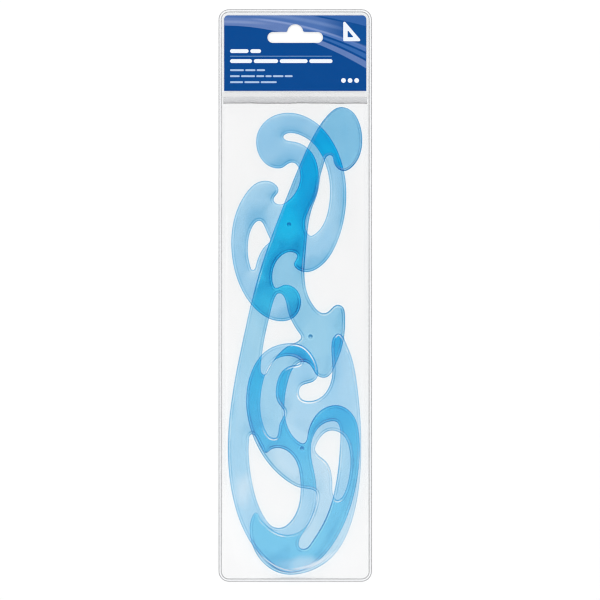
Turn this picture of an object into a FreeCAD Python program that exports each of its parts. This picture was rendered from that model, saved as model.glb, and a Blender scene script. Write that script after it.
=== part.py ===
import FreeCAD, Part
import os

# Three transparent drawing curves in a flat clear wallet that hangs from a peg.
# Millimetres.  The wallet lies on its back: +Z comes up out of its front, +Y runs
# towards the header with the hang slot, +X to the right.  The origin is the middle
# of the wallet's underside.

Vector = FreeCAD.Vector

# ------------------------------------------------------------------------ wallet
WALLET_W = 88.4            # overall, along X
WALLET_H = 330.0           # overall, along Y
WALLET_R = 6.0             # outer corner radius
RIM_W = 1.9                # fused bead round the wallet
RIM_T = 0.60
RIM_ROUND = 0.25           # rounding of the bead's upper edges
HALF_W = WALLET_W / 2
HALF_H = WALLET_H / 2
INNER_HALF_W = HALF_W - RIM_W      # space inside the bead
INNER_HALF_H = HALF_H - RIM_W
INNER_R = WALLET_R - RIM_W

FILM_T = 0.15              # each clear sheet
CARD_T = 0.25              # printed card
CARD_HALF_W = 41.0
CARD_Y0 = 117.9            # lower edge of the card
CARD_Y1 = 161.5            # upper edge of the card
CARD_R = 2.3               # upper corners of the card
CARD_TRIM = 10.0           # rounded blank's extra length, cut off for square corners
CARD_TOP_Z = FILM_T + CARD_T
HEADER_TOP_Z = CARD_TOP_Z + FILM_T

CROSS_Y0 = 114.3           # fused bar across the wallet, just below the card
CROSS_Y1 = 117.2
CROSS_TOP_Z = 0.60

# --------------------------------------------------------------------- hang slot
SLOT_LEN = 32.0            # overall length
SLOT_W = 6.3
SLOT_Y = 148.75            # centre line of the long slot
BUMP_R = 4.6               # round middle
BUMP_Y = 151.75
SLOT_FILLET = 1.0          # where the long slot meets the round middle
BUMP_TOLERANCE = 0.6       # how far in X the meeting corners may lie from BUMP_R

# ---------------------------------------------------------------- drawing curves
CURVE_T = 1.2
BEVEL_W = 1.0              # bevel along every upper edge, across the face
BEVEL_D = 0.45             # and down the side
GATE_R = 1.15              # round gate recess in the upper face
GATE_FLOOR_R = 0.95
GATE_DEPTH = 0.35
STUB_R = 0.45              # cut-off stub left standing in the recess
STUB_H = 0.20
LARGE_GATE = (8.81, -23.61)        # gate recess centres, x and y
SCURVE_GATE = (-3.57, 40.89)
HOOK_GATE = (3.92, -88.00)

LEVEL_GAP = 0.10           # air below, between and above the stacked curves
SCURVE_Z = HEADER_TOP_Z + LEVEL_GAP            # undersides, lowest curve first
LARGE_Z = SCURVE_Z + CURVE_T + LEVEL_GAP
HOOK_Z = LARGE_Z + CURVE_T + LEVEL_GAP

# ------------------------------------------------------ front sheet of the pocket
POCKET_INNER_Z = HOOK_Z + CURVE_T + LEVEL_GAP
POCKET_OUTER_Z = POCKET_INNER_Z + FILM_T
FLANGE_W = 1.0             # flat flange next to the bead
FLANGE_TOP_Z = 2 * FILM_T
TRAY_HALF_W = INNER_HALF_W - FLANGE_W          # foot of the raised part
TRAY_HALF_H = INNER_HALF_H - FLANGE_W
TRAY_R = INNER_R - FLANGE_W
SIDE_LEAN = 1.5            # how far its sides lean in
END_LEAN = 1.0             # how far its ends lean in
HEM_W = 4.0                # folded hem at the pocket's mouth
HEM_INSET = 0.4            # from the sides of the raised front

# ------------------------------------------------------------- cutting tool sizes
CUT_Z0 = -1.0              # cutters start below the wallet
FLAT_CUT_Z1 = 2.0          # and end above its flat parts
POCKET_CUT_Z1 = 20.0       # or above the pocket
TRIM_HALF_W = 50.0         # trimming boxes are wider than the wallet
BLANK_MARGIN = 10.0        # trimming box beyond the card blank's lower edge
HEADER_TRIM_Y0 = -20.0     # below the header sheet's blank, which starts at y = 0
FRONT_TRIM_Y1 = 200.0      # beyond the wallet's upper end
TOLERANCE = 1e-6

# --------------------------------------------------------------- drawing outlines
# Columns are x, y in the wallet's frame.  A closed periodic cubic spline passes
# through the points of each table.
POINTS_PER_EDGE = 6        # spline spans in each edge of a finished outline

LARGE_OUTER = [
    (26.23, 108.48), (28.47, 108.23), (31.05, 107.19), (33.41, 105.38), (35.69, 102.12),
    (37.53, 97.50), (38.45, 92.60), (38.56, 87.61), (37.80, 82.68), (35.95, 78.06),
    (33.11, 74.29), (30.75, 72.42), (29.06, 71.72), (27.61, 71.61), (26.19, 71.96),
    (24.76, 72.81), (23.40, 74.22), (22.35, 76.22), (21.87, 78.38), (21.52, 79.67),
    (21.01, 80.37), (20.33, 80.67), (19.61, 80.68), (18.88, 80.43), (18.15, 79.87),
    (17.37, 78.61), (16.26, 74.94), (14.82, 70.16), (13.97, 65.24), (13.19, 60.31),
    (11.72, 55.54), (9.94, 50.87), (8.56, 46.07), (7.63, 41.17), (7.02, 36.21), (6.60, 31.23),
    (6.21, 26.25), (5.77, 21.27), (5.42, 16.29), (5.36, 11.30), (5.78, 6.32), (6.89, 1.46),
    (8.83, -3.14), (11.56, -7.21), (13.71, -9.27), (15.16, -9.97), (16.47, -10.14),
    (17.77, -9.94), (19.33, -9.01), (21.64, -6.72), (23.19, -5.65), (24.35, -5.36),
    (25.42, -5.46), (26.41, -5.82), (27.30, -6.47), (28.02, -7.58), (28.57, -9.94),
    (28.78, -14.71), (28.60, -19.70), (28.01, -24.66), (27.01, -29.55), (25.53, -34.32),
    (23.63, -38.94), (21.58, -43.38), (19.88, -45.81), (18.53, -46.84), (17.16, -47.31),
    (15.67, -47.34), (14.15, -46.98), (12.73, -46.18), (11.19, -44.31), (9.19, -40.88),
    (7.62, -39.30), (6.15, -38.51), (4.74, -38.20), (3.32, -38.35), (1.77, -39.06),
    (-0.12, -40.68), (-2.20, -43.83), (-3.86, -48.46), (-5.05, -53.31), (-5.84, -58.24),
    (-6.17, -63.23), (-5.95, -68.22), (-5.08, -73.13), (-3.33, -77.80), (-0.51, -81.84),
    (2.25, -84.24), (3.60, -84.96), (4.51, -85.11), (5.28, -84.89), (5.92, -84.31),
    (6.52, -83.30), (7.01, -80.90), (8.02, -76.22), (10.01, -71.65), (12.90, -67.71),
    (16.32, -65.04), (20.15, -63.49), (23.68, -63.10), (26.70, -63.64), (29.65, -65.14),
    (32.59, -67.88), (34.92, -71.72), (36.28, -76.48), (36.92, -81.43), (37.22, -86.42),
    (37.21, -91.41), (36.92, -96.40), (36.39, -101.37), (35.64, -106.30), (34.68, -111.21),
    (33.53, -116.07), (32.16, -120.87), (30.57, -125.61), (28.73, -130.25), (26.63, -134.78),
    (24.27, -139.18), (21.61, -143.41), (18.63, -147.41), (15.27, -151.11), (11.52, -154.40),
    (7.31, -157.08), (2.67, -158.91), (-2.25, -159.67), (-6.75, -159.22), (-10.82, -157.50),
    (-14.86, -154.58), (-18.53, -151.19), (-21.86, -147.47), (-24.84, -143.46),
    (-27.46, -139.21), (-29.75, -134.77), (-31.73, -130.19), (-33.41, -125.48),
    (-34.82, -120.69), (-35.99, -115.84), (-36.94, -110.93), (-37.68, -105.99),
    (-38.23, -101.03), (-38.58, -96.04), (-38.76, -91.05), (-38.78, -86.06), (-38.64, -81.06),
    (-38.36, -76.08), (-37.95, -71.10), (-37.42, -66.13), (-36.79, -61.17), (-36.07, -56.23),
    (-35.26, -51.30), (-34.38, -46.38), (-33.45, -41.48), (-32.46, -36.58), (-31.44, -31.69),
    (-30.39, -26.81), (-29.33, -21.92), (-28.26, -17.04), (-27.18, -12.17), (-26.08, -7.29),
    (-24.93, -2.43), (-23.73, 2.42), (-22.44, 7.24), (-21.07, 12.05), (-19.60, 16.82),
    (-18.05, 21.57), (-16.44, 26.30), (-14.76, 31.00), (-13.05, 35.70), (-11.29, 40.37),
    (-9.51, 45.04), (-7.71, 49.70), (-5.89, 54.35), (-4.04, 58.99), (-2.18, 63.63),
    (-0.32, 68.26), (1.57, 72.89), (3.51, 77.49), (5.53, 82.06), (7.66, 86.58), (9.95, 91.02),
    (12.42, 95.36), (15.16, 99.53), (18.29, 103.42), (21.71, 106.65), (24.18, 108.05),
]
LARGE_WINDOW_UPPER = [
    (-9.00, 1.20), (-8.23, 1.03), (-7.43, 0.50), (-6.55, -0.63), (-5.44, -3.35), (-4.48, -8.14),
    (-2.93, -12.87), (-0.61, -17.28), (2.03, -21.31), (3.25, -23.20), (3.41, -24.18),
    (3.05, -25.00), (2.21, -25.88), (-0.13, -27.19), (-4.53, -29.30), (-8.42, -32.40),
    (-11.64, -36.20), (-14.24, -40.45), (-16.27, -44.05), (-17.12, -45.26), (-17.87, -45.55),
    (-18.56, -45.34), (-19.12, -44.79), (-19.59, -43.90), (-19.88, -42.17), (-19.56, -37.97),
    (-19.00, -33.02), (-18.29, -28.08), (-17.37, -23.18), (-16.30, -18.31), (-15.15, -13.46),
    (-13.97, -8.61), (-12.66, -3.80), (-11.28, -0.42), (-10.51, 0.69), (-9.76, 1.10),
]
LARGE_WINDOW_LEFT = [
    (-26.60, -82.62), (-26.27, -81.04), (-25.76, -80.33), (-25.14, -79.95), (-24.40, -80.01),
    (-23.64, -80.54), (-22.56, -81.89), (-20.59, -85.67), (-18.55, -89.13), (-17.75, -90.32),
    (-17.00, -90.67), (-16.22, -90.58), (-15.46, -90.01), (-14.44, -89.14), (-12.79, -88.30),
    (-10.63, -87.87), (-8.16, -88.05), (-5.51, -89.05), (-2.66, -91.16), (-0.07, -94.50),
    (1.77, -98.99), (2.70, -103.84), (3.07, -108.77), (3.05, -113.71), (2.48, -118.61),
    (1.18, -123.37), (-1.02, -127.79), (-3.91, -131.30), (-6.27, -132.98), (-8.37, -133.68),
    (-10.43, -133.76), (-12.37, -133.31), (-14.22, -132.20), (-16.58, -129.53),
    (-19.12, -125.31), (-21.17, -120.82), (-22.79, -116.15), (-24.05, -111.37),
    (-25.03, -106.53), (-25.82, -101.65), (-26.42, -96.74), (-26.77, -91.82), (-26.82, -86.88),
]
LARGE_WINDOW_RIGHT = [
    (9.07, -87.28), (9.99, -82.41), (11.96, -78.20), (14.48, -75.28), (17.33, -73.43),
    (20.12, -72.54), (22.06, -72.41), (23.33, -72.68), (24.28, -73.26), (25.03, -74.37),
    (25.75, -76.75), (26.03, -81.40), (25.79, -86.36), (25.47, -91.31), (25.05, -96.26),
    (24.50, -101.19), (23.79, -106.11), (22.89, -110.99), (21.76, -115.83), (20.38, -120.59),
    (18.70, -125.27), (16.72, -129.82), (14.40, -134.21), (11.80, -138.44), (9.08, -142.53),
    (7.26, -144.79), (6.05, -145.54), (5.03, -145.83), (4.13, -145.83), (3.35, -145.58),
    (2.71, -145.13), (2.23, -144.45), (1.98, -143.48), (2.07, -142.02), (3.01, -139.35),
    (5.51, -135.28), (8.03, -131.00), (10.05, -126.47), (11.42, -121.70), (12.14, -116.79),
    (12.27, -111.83), (11.88, -106.89), (11.03, -101.99), (10.00, -97.14), (9.20, -92.24),
]
SCURVE_OUTER = [
    (-4.15, 105.24), (0.78, 104.74), (5.52, 103.26), (9.92, 100.98), (13.90, 98.01),
    (17.39, 94.48), (20.39, 90.53), (22.94, 86.26), (25.04, 81.77), (26.71, 77.09),
    (27.97, 72.29), (28.83, 67.40), (29.32, 62.45), (29.45, 57.49), (29.25, 52.53),
    (28.71, 47.59), (27.84, 42.70), (26.63, 37.88), (25.08, 33.17), (23.19, 28.57),
    (20.90, 24.17), (18.04, 20.11), (14.46, 16.68), (10.52, 14.35), (7.36, 13.51), (4.79, 13.57),
    (2.52, 14.30), (0.83, 15.36), (-0.14, 16.35), (-0.63, 17.29), (-0.69, 18.34), (-0.20, 19.64),
    (0.58, 21.07), (1.03, 22.20), (1.03, 23.08), (0.62, 23.77), (-0.07, 24.32), (-1.07, 24.76),
    (-2.45, 25.01), (-4.20, 24.84), (-6.35, 23.96), (-8.89, 21.98), (-11.15, 18.94),
    (-12.70, 14.77), (-13.18, 10.01), (-12.68, 6.74), (-12.15, 5.31), (-11.62, 4.57),
    (-10.82, 4.34), (-9.74, 4.64), (-8.06, 5.48), (-6.11, 6.16), (-4.24, 6.15), (-2.19, 5.53),
    (-0.15, 4.26), (1.57, 2.34), (2.80, -0.18), (3.33, -3.25), (2.98, -6.70), (1.79, -9.77),
    (0.15, -11.95), (-1.96, -13.49), (-4.93, -14.54), (-9.10, -14.80), (-13.91, -13.79),
    (-18.34, -11.58), (-22.23, -8.50), (-25.58, -4.83), (-28.44, -0.78), (-30.88, 3.55),
    (-32.87, 8.10), (-34.43, 12.81), (-35.59, 17.64), (-36.38, 22.54), (-36.79, 27.49),
    (-36.82, 32.46), (-36.43, 37.41), (-35.60, 42.31), (-34.30, 47.10), (-32.51, 51.73),
    (-30.19, 56.12), (-27.35, 60.19), (-24.08, 63.59), (-21.19, 65.34), (-18.41, 66.04),
    (-15.68, 65.97), (-13.35, 65.26), (-11.57, 64.11), (-10.44, 62.88), (-9.85, 61.75),
    (-9.66, 60.68), (-9.88, 59.54), (-10.68, 58.29), (-11.72, 57.03), (-12.31, 55.98),
    (-12.43, 55.09), (-12.23, 54.32), (-11.77, 53.64), (-11.06, 53.07), (-10.10, 52.65),
    (-8.93, 52.45), (-7.49, 52.66), (-5.21, 53.88), (-1.68, 57.03), (1.06, 61.16), (2.61, 65.80),
    (2.83, 70.06), (2.20, 73.04), (1.29, 74.77), (0.34, 75.79), (-0.64, 76.37), (-1.71, 76.57),
    (-2.98, 76.35), (-4.83, 75.36), (-7.01, 73.81), (-8.87, 73.23), (-11.28, 73.30),
    (-14.24, 74.16), (-17.06, 75.93), (-19.63, 78.82), (-21.63, 82.94), (-22.49, 87.78),
    (-22.06, 92.31), (-20.47, 96.30), (-17.62, 99.98), (-13.70, 102.86), (-9.07, 104.63),
]
SCURVE_WINDOW_CRESCENT = [
    (-6.84, 91.21), (-6.70, 91.91), (-6.17, 92.50), (-5.32, 93.02), (-3.99, 93.48),
    (-1.78, 93.58), (2.30, 92.63), (6.71, 90.46), (10.49, 87.33), (13.57, 83.49), (15.97, 79.20),
    (17.78, 74.62), (19.06, 69.87), (19.82, 65.01), (20.07, 60.09), (19.85, 55.17),
    (19.17, 50.30), (18.03, 45.51), (16.15, 40.97), (13.43, 37.21), (10.95, 35.13),
    (9.72, 34.45), (8.84, 34.35), (8.09, 34.72), (7.35, 35.53), (6.51, 37.03), (5.82, 39.52),
    (5.85, 42.83), (7.12, 47.24), (9.23, 51.69), (11.36, 56.13), (12.84, 60.82), (13.51, 65.69),
    (13.49, 70.61), (12.71, 75.47), (10.99, 80.07), (8.42, 83.74), (5.10, 86.39), (0.64, 88.28),
    (-3.42, 88.97), (-5.13, 89.40), (-6.00, 89.97), (-6.55, 90.55),
]
SCURVE_WINDOW_LEAF = [
    (-20.55, 43.01), (-19.77, 42.71), (-18.92, 41.93), (-17.59, 39.55), (-15.70, 35.18),
    (-14.55, 32.85), (-14.21, 31.85), (-14.65, 30.96), (-16.35, 29.38), (-19.37, 25.72),
    (-21.42, 21.38), (-22.69, 17.07), (-23.26, 15.35), (-23.87, 14.77), (-24.56, 14.71),
    (-25.23, 15.16), (-25.79, 16.58), (-26.79, 20.60), (-27.30, 25.45), (-27.16, 30.33),
    (-26.37, 35.14), (-24.75, 39.42), (-23.28, 41.57), (-22.22, 42.49), (-21.36, 42.91),
]
HOOK_OUTER = [
    (24.83, -21.93), (25.66, -22.05), (26.50, -22.46), (27.43, -23.42), (28.80, -26.42),
    (30.77, -30.99), (32.48, -35.67), (33.75, -40.50), (34.70, -45.39), (35.45, -50.32),
    (36.09, -55.27), (36.64, -60.23), (37.09, -65.20), (37.44, -70.17), (37.70, -75.15),
    (37.87, -80.14), (37.94, -85.13), (37.93, -90.11), (37.82, -95.10), (37.59, -100.08),
    (37.23, -105.06), (36.70, -110.02), (36.00, -114.96), (35.10, -119.86), (33.97, -124.72),
    (32.62, -129.52), (31.00, -134.24), (29.06, -138.84), (26.73, -143.24), (23.93, -147.37),
    (20.60, -151.07), (16.74, -154.24), (12.48, -156.81), (7.89, -158.77), (3.09, -160.09),
    (-1.86, -160.64), (-6.83, -160.25), (-11.56, -158.71), (-15.80, -156.10), (-19.42, -152.68),
    (-22.34, -148.65), (-24.48, -144.15), (-25.79, -139.34), (-26.22, -134.38),
    (-25.66, -129.71), (-24.54, -126.83), (-23.75, -125.60), (-23.08, -125.04),
    (-22.35, -124.95), (-21.64, -125.25), (-21.04, -126.15), (-20.20, -127.96),
    (-17.72, -131.00), (-13.98, -134.27), (-9.82, -136.61), (-5.76, -137.55), (-1.64, -137.35),
    (1.96, -136.14), (4.82, -134.15), (7.47, -130.77), (9.62, -126.28), (11.29, -121.58),
    (12.31, -116.98), (12.30, -114.49), (11.93, -113.26), (11.15, -112.43), (9.62, -111.73),
    (5.77, -111.07), (1.18, -110.06), (-3.18, -107.76), (-7.22, -104.84), (-10.95, -101.53),
    (-14.34, -97.88), (-17.40, -93.94), (-20.10, -89.74), (-22.43, -85.34), (-24.41, -80.76),
    (-26.00, -76.03), (-27.20, -71.19), (-27.98, -66.27), (-28.30, -61.29), (-28.12, -56.31),
    (-27.43, -51.37), (-26.20, -46.54), (-24.42, -41.88), (-22.00, -37.53), (-18.84, -33.68),
    (-14.89, -30.65), (-10.34, -28.64), (-5.47, -27.59), (-0.53, -27.49), (3.28, -28.34),
    (6.19, -30.01), (9.27, -33.27), (11.75, -37.58), (13.05, -42.31), (13.16, -45.41),
    (12.68, -47.09), (11.77, -48.39), (10.28, -49.54), (7.08, -50.66), (4.35, -51.58),
    (3.20, -52.49), (2.52, -53.62), (2.16, -55.01), (2.16, -56.51), (2.51, -57.88),
    (3.16, -58.99), (4.16, -59.84), (5.67, -60.45), (8.08, -60.70), (11.28, -60.21),
    (14.29, -58.85), (16.95, -56.55), (19.31, -52.90), (20.86, -48.18), (21.39, -43.23),
    (21.22, -38.24), (20.88, -33.27), (20.85, -28.35), (21.41, -25.27), (22.25, -23.67),
    (23.13, -22.71), (23.98, -22.15),
]
HOOK_WINDOW_COMMA = [
    (-12.73, -38.08), (-9.93, -36.19), (-6.53, -35.09), (-3.01, -34.95), (0.05, -35.68),
    (1.88, -36.60), (2.77, -37.26), (3.15, -37.95), (3.03, -38.66), (2.53, -39.27),
    (1.55, -39.76), (-0.86, -40.09), (-4.10, -40.95), (-6.38, -42.40), (-8.40, -44.75),
    (-10.17, -48.66), (-11.09, -53.55), (-11.04, -58.08), (-10.14, -61.08), (-7.89, -64.33),
    (-6.65, -66.38), (-6.44, -67.82), (-7.01, -69.86), (-8.87, -73.65), (-9.60, -77.36),
    (-10.02, -80.10), (-10.49, -81.17), (-11.11, -81.73), (-11.89, -81.94), (-12.79, -81.89),
    (-13.82, -81.58), (-14.97, -80.84), (-16.33, -79.12), (-18.14, -75.03), (-19.41, -70.20),
    (-19.99, -65.24), (-19.99, -60.25), (-19.51, -55.28), (-18.63, -50.36), (-17.23, -45.57),
    (-15.15, -41.10),
]
HOOK_WINDOW_RIGHT = [
    (11.39, -88.20), (11.80, -86.37), (13.73, -82.67), (16.27, -79.71), (18.33, -78.34),
    (20.28, -77.79), (22.43, -77.83), (24.77, -78.54), (26.97, -79.94), (28.85, -82.12),
    (30.51, -85.83), (31.47, -90.70), (31.76, -95.66), (31.48, -100.63), (30.73, -105.55),
    (29.53, -110.38), (27.85, -114.61), (26.66, -116.40), (25.72, -117.13), (24.90, -117.49),
    (24.12, -117.56), (23.38, -117.29), (22.71, -116.65), (22.06, -115.48), (21.45, -113.06),
    (21.31, -108.40), (20.93, -103.43), (19.77, -98.92), (18.04, -95.94), (14.94, -93.17),
    (12.49, -90.93), (11.66, -89.52),
]


# ----------------------------------------------------------------- shape helpers
def spline_wire(points, z):
    """Closed spline through the points, cut into short edges that meet smoothly."""
    whole = Part.BSplineCurve()
    whole.interpolate([Vector(x, y, z) for x, y in points], PeriodicFlag=True)
    knots = whole.getKnots()
    last = len(knots) - 1
    edges = []
    for i in range(0, last, POINTS_PER_EDGE):
        piece = whole.copy()
        piece.segment(knots[i], knots[min(i + POINTS_PER_EDGE, last)])
        edges.append(piece.toShape())
    return Part.Wire(edges)


def edges_at(shape, z):
    """Edges that lie flat at height z."""
    return [edge for edge in shape.Edges
            if abs(edge.BoundBox.ZMin - z) < TOLERANCE
            and abs(edge.BoundBox.ZMax - z) < TOLERANCE]


def rounded_wire(half_w, y0, y1, r, z):
    """Rounded rectangle centred on x = 0, always with the same edges, for lofting."""
    inset = r * (1 - 0.5 ** 0.5)       # from a square corner to the arc's middle
    x0, x1 = -half_w, half_w
    # start of side, end of side, middle of the arc that follows it
    sides = [
        ((x0 + r, y0), (x1 - r, y0), (x1 - inset, y0 + inset)),
        ((x1, y0 + r), (x1, y1 - r), (x1 - inset, y1 - inset)),
        ((x1 - r, y1), (x0 + r, y1), (x0 + inset, y1 - inset)),
        ((x0, y1 - r), (x0, y0 + r), (x0 + inset, y0 + inset)),
    ]
    sides = [[Vector(x, y, z) for x, y in side] for side in sides]
    edges = []
    for i, (start, end, middle) in enumerate(sides):
        edges.append(Part.makeLine(start, end))
        edges.append(Part.Arc(end, middle, sides[(i + 1) % 4][0]).toShape())
    return Part.Wire(edges)


def rounded_plate(half_w, y0, y1, r, z0, z1):
    return Part.Face(rounded_wire(half_w, y0, y1, r, z0)).extrude(Vector(0, 0, z1 - z0))


def inner_plate(y0, z0, z1):
    """Plate that fills the bead from y0 to the upper end."""
    return rounded_plate(INNER_HALF_W, y0, INNER_HALF_H, INNER_R, z0, z1)


def centred_box(half_w, y0, y1, z0, z1):
    return Part.makeBox(2 * half_w, y1 - y0, z1 - z0, Vector(-half_w, y0, z0))


def trim_box(y0, y1, z1):
    return centred_box(TRIM_HALF_W, y0, y1, CUT_Z0, z1)


def hang_slot():
    """Punch for the hang slot: a long slot with a round middle."""
    height = FLAT_CUT_Z1 - CUT_Z0
    r = SLOT_W / 2
    end_x = SLOT_LEN / 2 - r
    slot = centred_box(end_x, SLOT_Y - r, SLOT_Y + r, CUT_Z0, FLAT_CUT_Z1)
    slot = slot.fuse([
        Part.makeCylinder(r, height, Vector(-end_x, SLOT_Y, CUT_Z0)),
        Part.makeCylinder(r, height, Vector(end_x, SLOT_Y, CUT_Z0)),
        Part.makeCylinder(BUMP_R, height, Vector(0, BUMP_Y, CUT_Z0)),
    ]).removeSplitter()
    corners = []
    for edge in slot.Edges:
        b = edge.BoundBox
        upright = (b.ZLength > height - TOLERANCE
                   and b.XLength < TOLERANCE and b.YLength < TOLERANCE)
        on_upper_side = abs(b.YMin - (SLOT_Y + r)) < 1e-3
        if upright and on_upper_side and abs(abs(b.XMin) - BUMP_R) < BUMP_TOLERANCE:
            corners.append(edge)
    return slot.makeFillet(SLOT_FILLET, corners)


# ------------------------------------------------------------------------ pieces
def drawing_curve(outer, windows, gate, z):
    """Plate with windows, bevelled upper edges and a gate recess."""
    wires = [spline_wire(points, z) for points in [outer] + windows]
    face = Part.makeFace(wires, "Part::FaceMakerBullseye")
    plate = face.extrude(Vector(0, 0, CURVE_T))
    top = z + CURVE_T
    plate = plate.makeChamfer(BEVEL_D, BEVEL_W, edges_at(plate, top))
    floor = Vector(gate[0], gate[1], top - GATE_DEPTH)
    recess = Part.makeCone(GATE_FLOOR_R, GATE_R, GATE_DEPTH, floor)
    recess = recess.cut(Part.makeCylinder(STUB_R, STUB_H, floor))
    return plate.cut(recess)


def rim_weld():
    """Fused bead all round the wallet."""
    rim = rounded_plate(HALF_W, -HALF_H, HALF_H, WALLET_R, 0, RIM_T)
    rim = rim.cut(inner_plate(-INNER_HALF_H, CUT_Z0, FLAT_CUT_Z1))
    return rim.makeFillet(RIM_ROUND, edges_at(rim, RIM_T))


def back_film():
    return inner_plate(-INNER_HALF_H, 0, FILM_T).cut(hang_slot())


def header_card():
    """Printed card: round upper corners, square lower corners."""
    blank_y0 = CARD_Y0 - CARD_TRIM
    card = rounded_plate(CARD_HALF_W, blank_y0, CARD_Y1, CARD_R, FILM_T, CARD_TOP_Z)
    card = card.cut(trim_box(blank_y0 - BLANK_MARGIN, CARD_Y0, FLAT_CUT_Z1))
    return card.cut(hang_slot())


def header_film():
    """Clear sheet over the card."""
    header = inner_plate(0, CARD_TOP_Z, HEADER_TOP_Z)
    header = header.cut(trim_box(HEADER_TRIM_Y0, CROSS_Y1, FLAT_CUT_Z1))
    return header.cut(hang_slot())


def cross_weld():
    """Fused bar that closes the card pocket."""
    return centred_box(INNER_HALF_W, CROSS_Y0, CROSS_Y1, FILM_T, CROSS_TOP_Z)


def tray(inset, z_top):
    """Raised part of the front sheet as a solid with leaning sides."""
    half_w = TRAY_HALF_W - inset
    half_h = TRAY_HALF_H - inset
    top_half_h = half_h - END_LEAN
    foot = rounded_wire(half_w, -half_h, half_h, TRAY_R, FLANGE_TOP_Z)
    top = rounded_wire(half_w - SIDE_LEAN, -top_half_h, top_half_h, TRAY_R, z_top)
    return Part.makeLoft([foot, top], True, True)


def front_film():
    """Front sheet of the pocket: flat flange, leaning sides, flat front, hem."""
    front = inner_plate(-INNER_HALF_H, FILM_T, FLANGE_TOP_Z)
    front = front.fuse(tray(0.0, POCKET_OUTER_Z))
    hollow_half_h = TRAY_HALF_H - FILM_T
    hollow = tray(FILM_T, POCKET_INNER_Z)
    hollow = hollow.fuse(rounded_plate(TRAY_HALF_W - FILM_T, -hollow_half_h, hollow_half_h,
                                       TRAY_R, FILM_T, FLANGE_TOP_Z))
    front = front.cut(hollow)
    # the pocket is open at the fused bar
    front = front.cut(trim_box(CROSS_Y0, FRONT_TRIM_Y1, POCKET_CUT_Z1))
    hem = centred_box(TRAY_HALF_W - SIDE_LEAN - HEM_INSET, CROSS_Y0 - HEM_W, CROSS_Y0,
                      POCKET_OUTER_Z, POCKET_OUTER_Z + FILM_T)
    return front.fuse(hem).removeSplitter()


parts = {
    "large_curve": drawing_curve(
        LARGE_OUTER, [LARGE_WINDOW_UPPER, LARGE_WINDOW_LEFT, LARGE_WINDOW_RIGHT],
        LARGE_GATE, LARGE_Z),
    "s_curve": drawing_curve(
        SCURVE_OUTER, [SCURVE_WINDOW_CRESCENT, SCURVE_WINDOW_LEAF], SCURVE_GATE, SCURVE_Z),
    "hook_curve": drawing_curve(
        HOOK_OUTER, [HOOK_WINDOW_COMMA, HOOK_WINDOW_RIGHT], HOOK_GATE, HOOK_Z),
    "back_film": back_film(),
    "front_film": front_film(),
    "header_film": header_film(),
    "header_card": header_card(),
    "rim_weld": rim_weld(),
    "cross_weld": cross_weld(),
}

os.makedirs("parts", exist_ok=True)
for name, shape in parts.items():
    # booleans may wrap a single solid in a compound
    if len(shape.Solids) == 1:
        shape = shape.Solids[0]
    shape.exportStep("parts/" + name + ".step")
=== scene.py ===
"""Clear vinyl wallet with a printed header card, holding three blue drawing-curve plates.

It lies flat and face up (+Z): x runs across it, y along it, from the foot of the pocket (-Y)
to the header card (+Y). Mesh tables are in millimetres. Shader places are in metres unless
a comment says otherwise.
"""
import bpy
import bmesh
import math
import numpy as np
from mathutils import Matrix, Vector


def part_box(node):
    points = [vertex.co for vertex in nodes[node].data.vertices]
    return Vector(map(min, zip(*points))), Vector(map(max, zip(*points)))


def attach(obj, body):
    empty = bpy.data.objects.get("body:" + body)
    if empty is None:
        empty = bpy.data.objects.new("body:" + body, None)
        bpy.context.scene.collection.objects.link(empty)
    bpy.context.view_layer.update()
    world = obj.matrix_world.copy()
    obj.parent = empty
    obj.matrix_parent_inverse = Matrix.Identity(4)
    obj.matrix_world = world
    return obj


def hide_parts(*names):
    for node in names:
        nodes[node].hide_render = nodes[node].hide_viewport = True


MM = 0.001
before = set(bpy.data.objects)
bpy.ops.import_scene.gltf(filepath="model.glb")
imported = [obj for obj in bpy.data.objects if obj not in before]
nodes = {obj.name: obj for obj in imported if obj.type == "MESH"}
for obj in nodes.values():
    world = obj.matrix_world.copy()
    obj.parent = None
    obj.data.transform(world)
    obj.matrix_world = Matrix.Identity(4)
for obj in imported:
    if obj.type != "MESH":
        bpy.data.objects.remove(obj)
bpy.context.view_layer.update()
scene = bpy.context.scene
rng = np.random.default_rng(7)


def top_of(node):
    """Top of a CAD piece, in millimetres."""
    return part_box(node)[1].z / MM


# ---------------------------------------------------------------- driving sizes, millimetres
RIM_HALF_WIDTH, RIM_HALF_LENGTH, RIM_CORNER = 44.2, 165.0, 6.0
BEAD_WIDTH = 1.9
INNER_HALF_WIDTH = RIM_HALF_WIDTH - BEAD_WIDTH
INNER_HALF_LENGTH = RIM_HALF_LENGTH - BEAD_WIDTH
INNER_CORNER = RIM_CORNER - BEAD_WIDTH
MOUTH_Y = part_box("front_film")[1].y / MM    # header-side edge of the front sheet
RIM_TOP = top_of("rim_weld")
SHEET_BASE = top_of("back_film") + 0.02     # underside of the front sheet at the weld
SHEET_STEP = 0.9                            # grid spacing of the front sheet
SHEET_THICKNESS = 0.15
PLATE_AIR = 0.13                            # gap between a plate and the sheet over it
HEM_WIDTH = 4.0
HEM_LIFT = 0.165                            # hem underside above the front sheet's underside
# the hem's fold line wanders in two waves: amplitude, radians per mm (and phase)
LONG_WAVE = (0.10, 0.16, 0.6)
SHORT_WAVE = (0.05, 0.43)

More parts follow.
